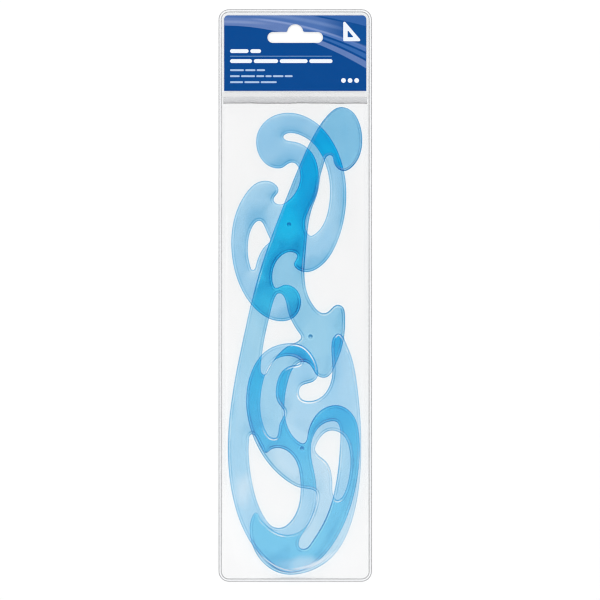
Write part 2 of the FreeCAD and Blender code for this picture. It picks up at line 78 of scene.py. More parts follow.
# plate edge: in from the outline, height above the underside, marks for top face and side wall
PLATE_EDGE = [
    (0.16, 0.0, 0, 0), (0.05, 0.035, 0, 1), (0.0, 0.12, 0, 1), (0.0, 0.60, 0, 1),
    (0.035, 0.70, 0, 0), (0.14, 0.775, 1, 0), (0.45, 0.875, 1, 0), (0.85, 0.985, 1, 0),
    (1.25, 1.075, 1, 0), (1.42, 1.105, 1, 0), (1.52, 1.135, 1, 0), (1.62, 1.180, 1, 0),
    (1.74, 1.20, 1, 0), (2.05, 1.20, 1, 0)]
# gate recess, from its rim to the middle: radius, height above the underside
GATE_DISH = [
    (1.42, 1.20), (1.22, 1.195), (1.13, 1.16), (1.03, 0.98), (0.96, 0.875), (0.86, 0.85),
    (0.58, 0.85), (0.49, 0.875), (0.45, 0.95), (0.43, 1.02), (0.36, 1.05), (0.18, 1.05)]
GATE_SEGMENTS = 32
PROFILE_THICKNESS = 1.20    # plate thickness the two tables above are drawn for
BEVEL_REACH = 2.2           # room a full bevel needs
BEVEL_SHARE = 0.80          # share of the free room a bevel may take
LINE_REACH = 2.6            # distance from the outline where the edge lines end


# ------------------------------------------------------------------------------ shader nodes
WHITE = (1.0, 1.0, 1.0)


class Value:
    """An output socket. + - * / and abs() on it build math nodes."""

    def __init__(self, net, socket):
        self.net = net
        self.socket = socket

    def __abs__(self):
        return self.net.math("ABSOLUTE", self)


def math_operator(operation, swapped):
    def build(self, other):
        pair = (other, self) if swapped else (self, other)
        return self.net.math(operation, *pair)
    return build


for symbol, operation in (("add", "ADD"), ("sub", "SUBTRACT"),
                          ("mul", "MULTIPLY"), ("truediv", "DIVIDE")):
    setattr(Value, f"__{symbol}__", math_operator(operation, swapped=False))
    setattr(Value, f"__r{symbol}__", math_operator(operation, swapped=True))


class Graph:
    """Adds and links the shader nodes of a material or world."""

    def __init__(self, owner):
        self.owner = owner
        owner.use_nodes = True
        self.tree = owner.node_tree
        self.tree.nodes.clear()

    def add(self, kind, **props):
        node = self.tree.nodes.new("ShaderNode" + kind)
        count = len(self.tree.nodes)
        node.location = (count * 40, -count * 12)
        for key, value in props.items():
            setattr(node, key, value)
        return node

    def get(self, node, output=0):
        return Value(self, node.outputs[output])

    def put(self, socket, value):
        """Link a socket, or set a colour (red, green, blue) or a number."""
        if isinstance(value, Value):
            value = value.socket
        if isinstance(value, bpy.types.NodeSocket):
            self.tree.links.new(value, socket)
        elif hasattr(value, "__len__"):
            socket.default_value = (*value, 1.0)
        else:
            socket.default_value = value

    def put_all(self, node, *values):
        for socket, value in zip(node.inputs, values):
            self.put(socket, value)

    def math(self, operation, *values, clamp=False):
        node = self.add("Math", operation=operation, use_clamp=clamp)
        self.put_all(node, *values)
        return self.get(node)

    def length(self, across, along):
        return self.math("SQRT", across * across + along * along)

    def linear(self, value, over, to=(0.0, 1.0), kind="LINEAR"):
        """Map value from the range over to the range to, clamped."""
        node = self.add("MapRange", interpolation_type=kind, clamp=True)
        self.put_all(node, value, *over, *to)
        return self.get(node)

    def smooth(self, value, over, to=(0.0, 1.0)):
        return self.linear(value, over, to, kind="SMOOTHSTEP")

    def mix(self, factor, first, second, blend="MIX"):
        node = self.add("Mix", data_type="RGBA", blend_type=blend, clamp_factor=True)
        for index, value in ((0, factor), (6, first), (7, second)):
            self.put(node.inputs[index], value)
        return self.get(node, 2)

    def multiply(self, first, second):
        return self.mix(1.0, first, second, "MULTIPLY")

    def shader(self, kind, colour, **inputs):
        node = self.add(kind)
        self.put(node.inputs[0], colour)
        for key, value in inputs.items():
            self.put(node.inputs[key], value)
        return self.get(node)

    def blend(self, share, first, second):
        """Mix two shaders; share belongs to the second."""
        node = self.add("MixShader")
        self.put_all(node, share, first, second)
        return self.get(node)

    def coordinates(self, kind="Object"):
        return self.get(self.add("TexCoord"), kind)

    def attribute(self, name):
        return self.get(self.add("Attribute", attribute_name=name), "Fac")

    def xyz(self, vector):
        node = self.add("SeparateXYZ")
        self.put(node.inputs[0], vector)
        return [self.get(node, axis) for axis in range(3)]

    def noise(self, place, scale, detail, rough=0.5, warp=0.0, stretch=None):
        """Noise; stretch multiplies x and y first."""
        if stretch:
            mapping = self.add("Mapping")
            self.put(mapping.inputs[0], place)
            mapping.inputs["Scale"].default_value = (*stretch, 1.0)
            place = mapping.outputs[0]
        node = self.add("TexNoise")
        for key, value in (("Vector", place), ("Scale", scale), ("Detail", detail),
                           ("Roughness", rough), ("Distortion", warp)):
            self.put(node.inputs[key], value)
        return self.get(node)

    def bump(self, height, strength, distance):
        node = self.add("Bump")
        for key, value in (("Strength", strength), ("Distance", distance), ("Height", height)):
            self.put(node.inputs[key], value)
        return self.get(node)

    def power(self, colour, exponent):
        """Colour to the power of a number, channel by channel."""
        split = self.add("SeparateColor")
        self.put(split.inputs[0], colour)
        joined = self.add("CombineColor")
        for channel in range(3):
            raised = self.math("POWER", split.outputs[channel], exponent)
            self.put(joined.inputs[channel], raised)
        return self.get(joined)

    def colours(self, value, stops, start=0.0, reach=1.0):
        """Colour ramp through stops (place, red, green, blue), from start over reach."""
        node = self.add("ValToRGB")
        node.color_ramp.interpolation = "LINEAR"
        elements = node.color_ramp.elements
        for index in (0, -1):
            elements[index].position = (stops[index][0] - start) / reach
            elements[index].color = (*stops[index][1:], 1)
        for place, *colour in stops[1:-1]:
            elements.new((place - start) / reach).color = (*colour, 1)
        self.put(node.inputs[0], value)
        return self.get(node)

    def finish(self, shader, output="OutputMaterial"):
        self.put(self.add(output).inputs[0], shader)
        return self.owner


class ClearGraph(Graph):
    """Material of a see-through piece, with what all of them read."""

    def __init__(self, name):
        super().__init__(bpy.data.materials.new(name))
        self.place = self.coordinates()
        self.surface = self.add("NewGeometry")
        dot = self.add("VectorMath", operation="DOT_PRODUCT")
        self.put_all(dot, self.surface.outputs["Normal"], self.surface.outputs["Incoming"])
        # between the view ray and the surface, 0 at grazing
        self.cosine = abs(self.get(dot, "Value"))
        self.rays = self.add("LightPath")
        # shadow and diffuse rays, for which the piece is kept simple and pale
        self.soft = self.math("MAXIMUM", self.rays.outputs["Is Shadow Ray"],
                              self.rays.outputs["Is Diffuse Ray"])

    def path_stretch(self, ior, most):
        """How much longer a slanted ray's way through a sheet is."""
        sine_squared = 1.0 - self.cosine * self.cosine
        inside = 1.0 - sine_squared / (ior * ior)
        cosine_inside = self.math("SQRT", self.math("MAXIMUM", inside, 0.02))
        return self.math("MINIMUM", 1.0 / cosine_inside, most)

    def finish_coated(self, shader, head_on, roughness, normal):
        """Add mirror reflection on the outer side, by Schlick from its head-on strength."""
        gloss = self.shader("BsdfAnisotropic", WHITE, Roughness=roughness, Normal=normal)
        rise = self.math("POWER", 1.0 - self.cosine, 5.0)
        fresnel = head_on + rise * (1.0 - head_on)
        outside = 1.0 - self.get(self.surface, "Backfacing")
        share = fresnel * outside * (1.0 - self.soft)
        return self.finish(self.blend(share, shader, gloss))


def srgb(*channels):
    """sRGB 0-255 to linear."""
    linear = []
    for level in channels:
        level = level / 255.0
        low = level <= 0.04045
        linear.append(level / 12.92 if low else ((level + 0.055) / 1.055) ** 2.4)
    return tuple(linear)


# ----------------------------------------------------------------------------- plate plastic
# Painted shade and painted highlight along a plate's edge, darker where the edge is turned
# away from the light and lighter where it is turned to it: mm in from the outline, red, green,
# blue. Each set is for an edge side-on to the light, one turned away from it and one turned to
# it.
CRISP = [
    [(0.0, 0.34, 0.64, 0.81), (0.48, 0.38, 0.67, 0.83), (0.76, 1.03, 1.01, 1.00),
     (1.12, 1.06, 1.02, 1.01), (1.32, 0.44, 0.71, 0.85), (1.74, 0.48, 0.73, 0.87),
     (2.10, 1.0, 1.0, 1.0), (2.6, 1.0, 1.0, 1.0)],
    [(0.0, 0.06, 0.44, 0.65), (0.58, 0.08, 0.48, 0.68), (0.80, 0.80, 0.94, 0.98),
     (1.02, 0.86, 0.96, 0.99), (1.20, 0.10, 0.50, 0.71), (1.76, 0.14, 0.54, 0.74),
     (2.18, 0.98, 1.0, 1.0), (2.6, 1.0, 1.0, 1.0)],
    [(0.0, 0.18, 0.52, 0.71), (0.62, 0.26, 0.57, 0.74), (0.90, 1.06, 1.03, 1.01),
     (1.00, 1.12, 1.05, 1.01), (1.10, 1.36, 1.15, 1.04), (1.44, 1.32, 1.13, 1.03),
     (1.64, 0.84, 0.93, 0.97), (2.10, 1.0, 1.0, 1.0), (2.6, 1.0, 1.0, 1.0)],
]
SOFT = [
    [(0.0, 0.46, 0.72, 0.87), (0.48, 0.50, 0.75, 0.88), (0.78, 0.96, 0.99, 1.0),
     (1.10, 1.00, 1.00, 1.0), (1.36, 0.56, 0.78, 0.90), (1.76, 0.60, 0.80, 0.91),
     (2.34, 0.98, 0.99, 1.0), (2.6, 1.0, 1.0, 1.0)],
    [(0.0, 0.12, 0.50, 0.72), (0.56, 0.18, 0.55, 0.75), (0.80, 0.66, 0.86, 0.94),
     (1.02, 0.68, 0.87, 0.95), (1.22, 0.16, 0.53, 0.74), (1.80, 0.22, 0.58, 0.77),
     (2.38, 0.92, 0.97, 0.99), (2.6, 1.0, 1.0, 1.0)],
    [(0.0, 0.50, 0.74, 0.87), (0.42, 0.58, 0.79, 0.90), (0.72, 1.12, 1.06, 1.02),
     (1.50, 1.18, 1.08, 1.03), (1.72, 0.94, 0.97, 0.99), (2.00, 0.96, 0.98, 0.99),
     (2.30, 1.0, 1.0, 1.0), (2.6, 1.0, 1.0, 1.0)],
]
# painted edge shade and highlight at the header end of the large plate
HEAD_AWAY = [
    (0.0, 0.02, 0.34, 0.56), (0.62, 0.04, 0.38, 0.60), (0.80, 0.64, 0.84, 0.91),
    (0.98, 0.72, 0.88, 0.94), (1.14, 0.12, 0.48, 0.69), (1.44, 0.16, 0.52, 0.73),
    (1.72, 0.98, 1.0, 1.0), (2.6, 1.0, 1.0, 1.0)]
HEAD_TO = [
    (0.0, 0.20, 0.54, 0.73), (0.90, 0.24, 0.56, 0.75), (1.16, 0.62, 0.82, 0.91),
    (1.62, 1.12, 1.05, 1.01), (1.95, 1.05, 1.02, 1.01), (2.25, 1.0, 1.0, 1.0),
    (2.6, 1.0, 1.0, 1.0)]
HEAD_LIGHT = (0.12, -0.99)      # light direction there, as in "light" below

# alone, under: what a plate lets through by itself and below another one: y, red, green, blue
# shows: how strongly the painted edge shade and highlight show: y, strength
# light: direction, x and y, in which the shoulders fall off from the light
# gate: centre of the round recess, mm; gate_red: red of the painted shade in it
# gleam, away_gleam: brightness of the painted highlight on a shoulder turned to the light, and
# away from it
PLATE_LOOKS = {
    "large": dict(
        alone=[(-0.120, 0.485, 0.765, 0.955), (-0.055, 0.455, 0.750, 0.935),
               (-0.020, 0.435, 0.735, 0.910), (0.090, 0.285, 0.612, 0.842)],
        under=[(-0.135, 0.355, 0.865, 1.000), (-0.100, 0.290, 0.825, 0.990),
               (-0.075, 0.158, 0.755, 0.970), (-0.050, 0.095, 0.735, 0.950),
               (0.090, 0.090, 0.720, 0.930)],
        lines=CRISP,
        shows=[(-0.165, 1.0), (-0.120, 1.0), (-0.060, 0.85), (-0.020, 0.85), (0.030, 0.80),
               (0.070, 0.95), (0.090, 1.0)],
        light=(0.58, -0.80), gate=(8.81, -23.61), gate_red=0.12, gleam=0.18, away_gleam=0.14),
    "s": dict(
        alone=[(-0.010, 0.535, 0.780, 0.955), (0.050, 0.535, 0.785, 0.955),
               (0.075, 0.475, 0.745, 0.940), (0.100, 0.425, 0.705, 0.920)],
        under=[(-0.010, 0.185, 0.910, 1.020), (0.009, 0.150, 0.920, 1.030),
               (0.030, 0.070, 0.940, 1.050), (0.045, 0.022, 0.880, 1.060),
               (0.090, 0.002, 0.880, 1.080)],
        lines=SOFT,
        shows=[(-0.02, 1.0), (0.10, 0.95)],
        light=(0.30, -0.95), gate=(-3.57, 40.89), gate_red=0.04, gleam=0.06, away_gleam=0.0),
    "hook": dict(
        alone=[(-0.150, 0.650, 0.850, 0.975), (-0.100, 0.660, 0.840, 0.970),
               (-0.055, 0.490, 0.765, 0.955), (-0.025, 0.460, 0.745, 0.945)],
        under=[(-0.150, 0.350, 0.820, 1.000), (-0.025, 0.150, 0.720, 0.980)],
        lines=CRISP,
        shows=[(-0.165, 1.0), (-0.02, 1.0)],
        light=(-0.28, -0.96), gate=(3.92, -88.00), gate_red=0.04, gleam=0.80,
        away_gleam=0.14),
}
LOOK_START, LOOK_END = -0.170, 0.120    # y range of the tables above


def gate_tint(net, x, y, look):
    """Painted shade in the recess, dark on its header side, clearer to the foot, with a faint
    painted light halo round it; mm.
    """
    from_x = x * 1000.0 - look["gate"][0]
    from_y = y * 1000.0 - look["gate"][1]

    def distance(shift_x, shift_y):
        return net.length(from_x + shift_x, from_y + shift_y)
    radius = distance(shift_x=0.0, shift_y=0.0)
    dark = (net.smooth(radius, over=(1.50, 1.08))
            * net.linear(from_y, over=(-1.2, 0.3), to=(0.30, 1.0)))
    footward = distance(shift_x=0.0, shift_y=0.80)
    dark = dark * net.smooth(footward, over=(0.25, 0.75), to=(0.35, 1.0))
    halo = net.smooth(radius, over=(1.25, 1.55)) * net.smooth(radius, over=(2.7, 1.8))
    pale = net.mix(halo, WHITE, (1.06, 1.05, 1.03))
    return net.mix(dark * 0.95, pale, (look["gate_red"], 0.42, 0.64))


def plate_plastic(kind):
    look = PLATE_LOOKS[kind]
    net = ClearGraph("moulded_blue_" + kind)
    place = net.place
    x, y, _ = net.xyz(place)
    edge, side, top, out_x, out_y = [
        net.attribute(name) for name in ("edge_mm", "side", "top", "out_x", "out_y")]

    along_plate = net.linear(y, over=(LOOK_START, LOOK_END))

    def by_y(stops):
        return net.colours(along_plate, stops, start=LOOK_START, reach=LOOK_END - LOOK_START)

    # cloudy flow of the moulding: wide soft drifts and fine streaks
    drift = net.noise(place, scale=60.0, detail=2.0, stretch=(1.0, 0.35))
    streak = net.noise(place, scale=120.0, detail=3.0, rough=0.6, stretch=(9.0, 0.9))
    flow = (net.linear(drift, over=(0.3, 0.7), to=(-0.06, 0.06))
            + net.linear(streak, over=(0.3, 0.7), to=(-0.020, 0.020)))
    base = net.power(by_y(look["alone"]), 1.0 + flow * 2.2)

    # seen from above through another plate; from below the colours just stack
    deep = net.math("GREATER_THAN", net.rays.outputs["Transparent Depth"], 3.5)
    incoming_z = net.xyz(net.surface.outputs["Incoming"])[2]
    under = (net.get(net.rays, "Is Camera Ray") * deep
             * net.math("GREATER_THAN", incoming_z, 0.0))
    base = net.mix(under, base, by_y(look["under"]))

    # painted shade and highlight lines along the edges, led by the way the edge is turned to the
    # light
    edge_share = edge * (1 / LINE_REACH)

    def by_edge(stops):
        return net.colours(edge_share, stops, reach=LINE_REACH)
    plain, away_lines, to_lines = [by_edge(stops) for stops in look["lines"]]
    swing = 0.0     # 1 at the header end of the large plate, where the light comes round
    if kind == "large":
        swing = net.smooth(y, over=(0.020, 0.070))
        to_lines = net.mix(swing, to_lines, by_edge(HEAD_TO))
        away_lines = net.mix(swing, away_lines, by_edge(HEAD_AWAY))
    light_x, light_y = [net.linear(swing, over=(0, 1), to=ends)
                        for ends in zip(look["light"], HEAD_LIGHT)]
    turned = out_x * light_x + out_y * light_y
    uneven = net.linear(net.noise(place, scale=55.0, detail=2.0),
                        over=(0.3, 0.7), to=(-0.35, 0.35))
    away = net.smooth(turned + uneven, over=(-0.15, 0.85))
    to_light = net.smooth(turned * -1.0 + uneven, over=(0.25, 1.0))
    lines = net.mix(away * 0.92, plain, away_lines)
    lines = net.mix(to_light * 0.90, lines, to_lines)
    lines = net.mix(under * 0.75, lines, net.multiply(lines, lines))

    shows = by_y([(stop_y, strength, strength, strength) for stop_y, strength in look["shows"]])
    patchy = net.linear(net.noise(place, scale=46.0, detail=2.0),
                        over=(0.36, 0.60), to=(0.62, 1.2))
    shows = net.math("MULTIPLY", shows, patchy, clamp=True)
    # where the light runs along an edge its lines fade, most of all at the header end
    faded = net.linear(y, over=(0.045, 0.075), to=(0.95, 0.78 if kind == "large" else 0.90))
    along_edge = net.math("MAXIMUM", away, to_light)
    shows = shows * net.math("MAXIMUM", along_edge, faded)
    if kind != "s":
        # weaker on edges facing +X in the foot half
        quiet = net.smooth(out_x, over=(0.35, 0.90)) * net.smooth(y, over=(0.0, -0.040))
        shows = shows * net.linear(quiet, over=(0.0, 1.0), to=(1.0, 0.42))
    lines = net.mix(top * shows, WHITE, lines)
    # painted shade and light halo of the gate recess, multiplied into the top face
    lines = net.mix(top, lines, net.multiply(lines, gate_tint(net, x, y, look)))

    tint = net.power(base, net.path_stretch(ior=1.49, most=2.2) * 0.5)
    tint = net.multiply(tint, lines)
    tint = net.mix(side * 0.85, tint, (0.10, 0.50, 0.80))
    tint = net.mix(net.soft, tint, (0.93, 0.975, 0.995))
    clear = net.shader("BsdfTransparent", tint)

    # slow waves of the moulded face, fine scratches and dust
    wave = net.noise(place, scale=26.0, detail=1.0)
    scratch = net.noise(place, scale=90.0, detail=2.0, rough=0.7, stretch=(60.0, 3.0))
    dust = net.noise(place, scale=2600.0, detail=2.0, rough=0.6)
    normal = net.bump(wave * 1.0 + scratch * 0.012, strength=0.35, distance=0.0012)
    roughness = 0.055 + (net.linear(scratch, over=(0.55, 0.8), to=(0.0, 0.10))
                         + net.linear(dust, over=(0.62, 0.75), to=(0.0, 0.12)))

    # a trace of solid colour, much more on the side walls
    body = net.shader("BsdfDiffuse", net.mix(side, (0.28, 0.62, 0.86), (0.06, 0.42, 0.78)))
    glow = net.shader("BsdfTranslucent", net.mix(side, (0.30, 0.66, 0.90), (0.10, 0.52, 0.88)))
    solid = net.blend(0.5, body, glow)
    solid_share = (0.010 + side * 0.42) * (1.0 - net.soft)
    shader = net.blend(solid_share, clear, solid)

    # painted highlight: a thin bright line on the bevel's shoulder, coming and going
    shoulder = net.smooth(edge, over=(0.66, 0.88)) * net.smooth(edge, over=(1.62, 1.40))
    run = net.smooth(net.noise(place, scale=70.0, detail=2.0), over=(0.44, 0.60))
    gleam = net.math("MAXIMUM", to_light * look["gleam"], away * look["away_gleam"])
    gleam = gleam * shoulder * (top * net.linear(run, over=(0, 1), to=(0.15, 1.0)))
    gleam = gleam * (1.0 - net.soft)
    shader = net.blend(gleam, shader, net.shader("BsdfDiffuse", (0.97, 0.985, 1.0)))
    return net.finish_coated(shader, head_on=0.030, roughness=roughness, normal=normal)


# ----------------------------------------------------------------------------- wallet vinyls
def film(name, keep, head_on, waves, veil_and_glare=None, grey_edge=0.0, tone=WHITE, graded=None):
    """Clear vinyl sheet.

    keep: share of light one surface lets through; tone: its tint; head_on: reflection;
    waves: strength of the creases; veil_and_glare: builds a whitish veil with painted
    reflections; grey_edge: greying at a slant; graded: density at the foot and at the header end.
    """
    net = ClearGraph(name)
    place = net.place
    cloud = net.noise(place, scale=34.0, detail=2.0, stretch=(1.0, 0.45))
    density = (net.path_stretch(ior=1.6, most=3.0)
               * net.linear(cloud, over=(0.3, 0.7), to=(0.75, 1.25)))
    if graded:
        density = density * net.linear(net.xyz(place)[1], over=(-0.155, 0.090), to=graded)
    tint = net.power(tuple(keep * channel for channel in tone), density)
    if grey_edge:
        slant = net.math("POWER", 1.0 - net.cosine, 2.0)
        tint = net.mix(slant * grey_edge, tint, (0.62, 0.64, 0.67))
    tint = net.mix(net.soft * 0.75, tint, WHITE)
    shader = net.shader("BsdfTransparent", tint)
    if veil_and_glare is not None:
        # whitish veil and painted reflections, mixed in as a white diffuse share
        veil = net.shader("BsdfDiffuse", (0.98, 0.985, 1.0))
        share = net.math("MULTIPLY", veil_and_glare(net), 1.0 - net.soft, clamp=True)
        shader = net.blend(share, shader, veil)
    # fine orange-peel and long soft creases of the sheet
    peel = net.noise(place, scale=420.0, detail=2.0, rough=0.6)
    crease = net.noise(place, scale=22.0, detail=3.0, rough=0.55, warp=0.6,
                       stretch=(2.2, 0.55))
    normal = net.bump(peel * 0.05 + crease * waves, strength=0.5, distance=0.0025)
    roughness = 0.06 + net.linear(net.noise(place, scale=90.0, detail=3.0),
                                  over=(0.4, 0.8), to=(0.0, 0.10))
    return net.finish_coated(shader, head_on=head_on, roughness=roughness, normal=normal)


# painted reflections, soft glare patches on the front sheet: centre x, y, radius across, radius
# along, amount
GLARE = [(0.0065, -0.1545, 0.0185, 0.0048, 0.14), (-0.0295, -0.110, 0.006, 0.011, 0.15),
         (-0.031, -0.060, 0.004, 0.020, 0.05), (0.029, -0.045, 0.007, 0.018, 0.04)]
# painted highlights, curved gleams near the foot: lowest point (x, y), bend, how wide, brightness
RIGHT_GLEAM = dict(x=-0.0036, y=-0.1575, bend=13.95, width=0.0011, widening=0.0012, amount=0.18)
LEFT_GLEAM = dict(y=-0.1585, bend=23.2, width=0.00062, amount=0.26)


def front_veil_and_glare(net):
    """Whitish veil growing to the foot, and painted reflections: thin curved gleams and soft
    glare, broken up by creases.
    """
    x, y, _ = net.xyz(net.place)
    veil = net.linear(y, over=(0.000, -0.160), to=(0.0, 0.045))
    patch = net.noise(net.place, scale=45.0, detail=3.0, warp=0.6, stretch=(1.0, 0.7))

    gleam = RIGHT_GLEAM
    from_low = x - gleam["x"]
    offset = y - (gleam["y"] + gleam["bend"] * (from_low * from_low))
    width = gleam["width"] + net.smooth(x, over=(0.002, 0.022)) * gleam["widening"]
    arc = net.smooth(abs(offset) / width, over=(0.25, 1.0), to=(1.0, 0.0))
    ends = net.smooth(x, over=(-0.008, 0.004)) * net.smooth(x, over=(0.027, 0.018))
    veil = veil + arc * ends * gleam["amount"]

    gleam = LEFT_GLEAM
    offset = y - (gleam["y"] + gleam["bend"] * (x * x))
    arc = net.smooth(abs(offset) / gleam["width"], over=(0.2, 1.0), to=(1.0, 0.0))
    ends = net.smooth(x, over=(-0.0215, -0.017)) * net.smooth(x, over=(0.001, -0.005))
    veil = veil + arc * ends * gleam["amount"]

    for centre_x, centre_y, radius_x, radius_y, amount in GLARE:
        distance = net.length((x - centre_x) / radius_x, (y - centre_y) / radius_y)
        distance = distance + net.linear(patch, over=(0.3, 0.7), to=(-0.45, 0.45))
        veil = veil + net.smooth(distance, over=(0.0, 1.25), to=(amount, 0.0))
    normal_z = net.xyz(net.surface.outputs["Normal"])[2]
    return veil * net.smooth(normal_z, over=(0.0, 0.6))


# painted shade across the bead, for its rolled shoulders: mm from its outer edge, light let
# through
BEAD_SHADES = [(0.0, 0.38), (0.46, 0.42), (0.62, 0.985), (1.22, 0.985), (1.36, 0.46),
               (1.80, 0.48), (BEAD_WIDTH, 0.85)]
# painted shade across the hem: share of its width from the fold line, light let through
HEM_SHADES = [(0.0, 0.38), (0.12, 0.38), (0.20, 0.62), (0.50, 0.70), (0.88, 0.76),
              (0.96, 0.72), (1.0, 0.80)]


def bead_vinyl():
    """Fused bead: painted shade on its two rolled shoulders makes two grey lines, clearer in the
    middle.
    """
    net = ClearGraph("fused_bead_vinyl")
    across = net.attribute("across_mm")
    stops = [(place, shade, shade * 1.005, shade * 1.015) for place, shade in BEAD_SHADES]
    line = net.colours(across * (1 / BEAD_WIDTH), stops, reach=BEAD_WIDTH)
    grain = net.noise(net.place, scale=110.0, detail=2.0)
    tint = net.mix(net.linear(grain, over=(0.35, 0.75), to=(0.0, 0.04)),
                   line, (0.84, 0.85, 0.87))
    tint = net.mix(net.surface.outputs["Backfacing"], tint, (0.99, 0.99, 0.993))
    tint = net.mix(net.soft * 0.9, tint, WHITE)
    clear = net.shader("BsdfTransparent", tint)
    milk = net.shader("BsdfDiffuse", (0.86, 0.87, 0.89))
    shader = net.blend(0.05 * (1.0 - net.soft), clear, milk)
    normal = net.bump(grain, strength=0.1, distance=0.0001)
    return net.finish_coated(shader, head_on=0.020, roughness=0.24, normal=normal)


def hem_vinyl():
    """Folded hem, with painted shade darkest along its fold line."""
    net = ClearGraph("folded_hem_vinyl")
    x, y, _ = net.xyz(net.place)
    x_mm = x * 1000.0
    size, rate, phase = LONG_WAVE
    long_wave = net.math("SINE", x_mm * rate + phase) * size
    size, rate = SHORT_WAVE
    wander = long_wave + net.math("SINE", x_mm * rate) * size
    from_fold = y * 1000.0 - (MOUTH_Y - HEM_WIDTH) - wander
    # slightly cool greys, neutral at both ends
    stops = [(place, shade, shade * 1.005, shade * 1.02) for place, shade in HEM_SHADES]
    for end in (0, -1):
        place, shade = HEM_SHADES[end]
        stops[end] = (place, shade, shade, shade)
    shades = net.colours(from_fold / HEM_WIDTH, stops)
    cloud = net.noise(net.place, scale=60.0, detail=2.0, stretch=(1.0, 0.25))
    tint = net.mix(net.linear(cloud, over=(0.35, 0.7), to=(0.0, 0.16)),
                   shades, (0.84, 0.845, 0.86))
    tint = net.mix(net.surface.outputs["Backfacing"], tint, WHITE)
    tint = net.mix(net.soft * 0.9, tint, WHITE)
    clear = net.shader("BsdfTransparent", tint)
    normal = net.bump(net.noise(net.place, scale=180.0, detail=2.0),
                      strength=0.1, distance=0.0001)
    return net.finish_coated(clear, head_on=0.020, roughness=0.24, normal=normal)


# ---------------------------------------------------------------------------- card and inks
# Edges of the sweeping bands on the card, each falling off as the square of the distance
# from BAND_LEFT: height there in mm, rate of fall per mm.
BAND_LEFT = -41.0
BANDS = {"low": (155.6, 0.00368), "line2": (158.0, 0.00333), "line1": (159.0, 0.00286),
         "ridge": (160.2, 0.00254), "gleam": (157.8, 0.00185), "veil": (163.0, 0.00200),
         "crest": (165.6, 0.00162)}


def printed_card():
    """Card printed deep blue, with pale sweeping bands across its header end."""
    net = Graph(bpy.data.materials.new("printed_card"))
    place = net.coordinates()
    x, y, _ = net.xyz(place)
    x = x * 1000.0
    y = y * 1000.0
    deep = srgb(0, 72, 143)
    band_y = {}
    for band, (height, fall) in BANDS.items():
        from_left = x + -BAND_LEFT
        band_y[band] = height - from_left * from_left * fall

    def above(band, soft):
        return net.smooth(y - band_y[band], over=(-soft, soft))

    def near(band, half, soft):
        return net.smooth(abs(y - band_y[band]), over=(half, half + soft), to=(1.0, 0.0))

    right = net.smooth(x, over=(-4.0, 20.0))
    far_right = net.smooth(x, over=(12.0, 34.0))
    left = net.smooth(x, over=(-10.0, -30.0))
    sky = net.mix(far_right, srgb(78, 114, 175), srgb(6, 78, 148))
    ridge_fade = (net.linear(far_right, over=(0, 1), to=(0.85, 0.25))
                  * net.smooth(x, over=(-30.0, -14.0)))
    # printed one over the other: where, colour
    layers = [
        (above("low", soft=0.22), srgb(100, 127, 182)),
        (above("line2", soft=0.3) * right, srgb(52, 104, 172)),
        (above("line1", soft=0.3) * right, srgb(80, 118, 182)),
        (near("line2", half=0.40, soft=0.55) * right, deep),
        (near("line1", half=0.34, soft=0.55) * right, deep),
        (above("ridge", soft=0.55), sky),
        (near("ridge", half=0.10, soft=0.9) * ridge_fade, srgb(138, 158, 205)),
        (near("gleam", half=0.10, soft=1.2) * (left * 0.7), srgb(140, 158, 200)),
        (near("veil", half=0.15, soft=1.6) * (1.0 - far_right), srgb(104, 134, 188)),
        (above("crest", soft=0.25) * net.smooth(x, over=(9.0, 15.0)), srgb(52, 100, 168)),
        (near("crest", half=0.22, soft=0.5) * net.smooth(x, over=(8.0, 16.0)),
         srgb(10, 76, 146)),
    ]
    colour = deep
    for where, ink in layers:
        colour = net.mix(where, colour, ink)

    # the screen of the print and slight mottling
    dots = net.noise(place, scale=5200.0, detail=1.0)
    mottle = net.noise(place, scale=160.0, detail=4.0, rough=0.6)
    colour = net.mix(net.linear(dots, over=(0.45, 0.75), to=(0.0, 0.03)),
                     colour, net.mix(0.5, colour, (0.06, 0.34, 0.70)))
    colour = net.mix(net.linear(mottle, over=(0.4, 0.75), to=(0.0, 0.06)),
                     colour, (0.0, 0.04, 0.16))
    # bare board on the cut edge and the underside
    normal_z = net.xyz(net.add("NewGeometry").outputs["True Normal"])[2]
    underside = net.smooth(normal_z, over=(-0.6, -0.4), to=(1.0, 0.0))
    fibre = net.noise(place, scale=1500.0, detail=4.0, rough=0.7, stretch=(1.0, 3.0))
    board = net.mix(net.linear(fibre, over=(0.3, 0.7)), srgb(226, 224, 218),
                    srgb(244, 243, 239))
    cut_edge = net.smooth(abs(normal_z), over=(0.5, 0.7), to=(1.0, 0.0))
    colour = net.mix(cut_edge, colour, srgb(228, 234, 243))
    colour = net.mix(underside, colour, board)
    return net.finish(net.shader("BsdfPrincipled", colour, **{
        "Roughness": net.linear(fibre, over=(0.3, 0.7), to=(0.42, 0.55)),
        "Specular IOR Level": 0.06,
        "Normal": net.bump(fibre, strength=0.15, distance=0.0001)}))


def ink_material(name, rgb):
    net = Graph(bpy.data.materials.new(name))
    place = net.coordinates()
    grain = net.noise(place, scale=1800.0, detail=3.0, rough=0.6)
    wear = net.noise(place, scale=240.0, detail=2.0)
    colour = net.mix(net.linear(grain, over=(0.35, 0.75), to=(0.0, 0.16)),
                     rgb, tuple(channel * 0.86 for channel in rgb))
    colour = net.mix(net.linear(wear, over=(0.5, 0.8), to=(0.0, 0.08)),
                     colour, srgb(180, 200, 230))
    return net.finish(net.shader("BsdfPrincipled", colour, **{
        "Roughness": net.linear(grain, over=(0.3, 0.7), to=(0.4, 0.6)),
        "Specular IOR Level": 0.06}))


# ------------------------------------------------------------------------------ mesh helpers
def vertex(bm, x, y, z):
    """New vertex, given in millimetres."""
    return bm.verts.new((x * MM, y * MM, z * MM))


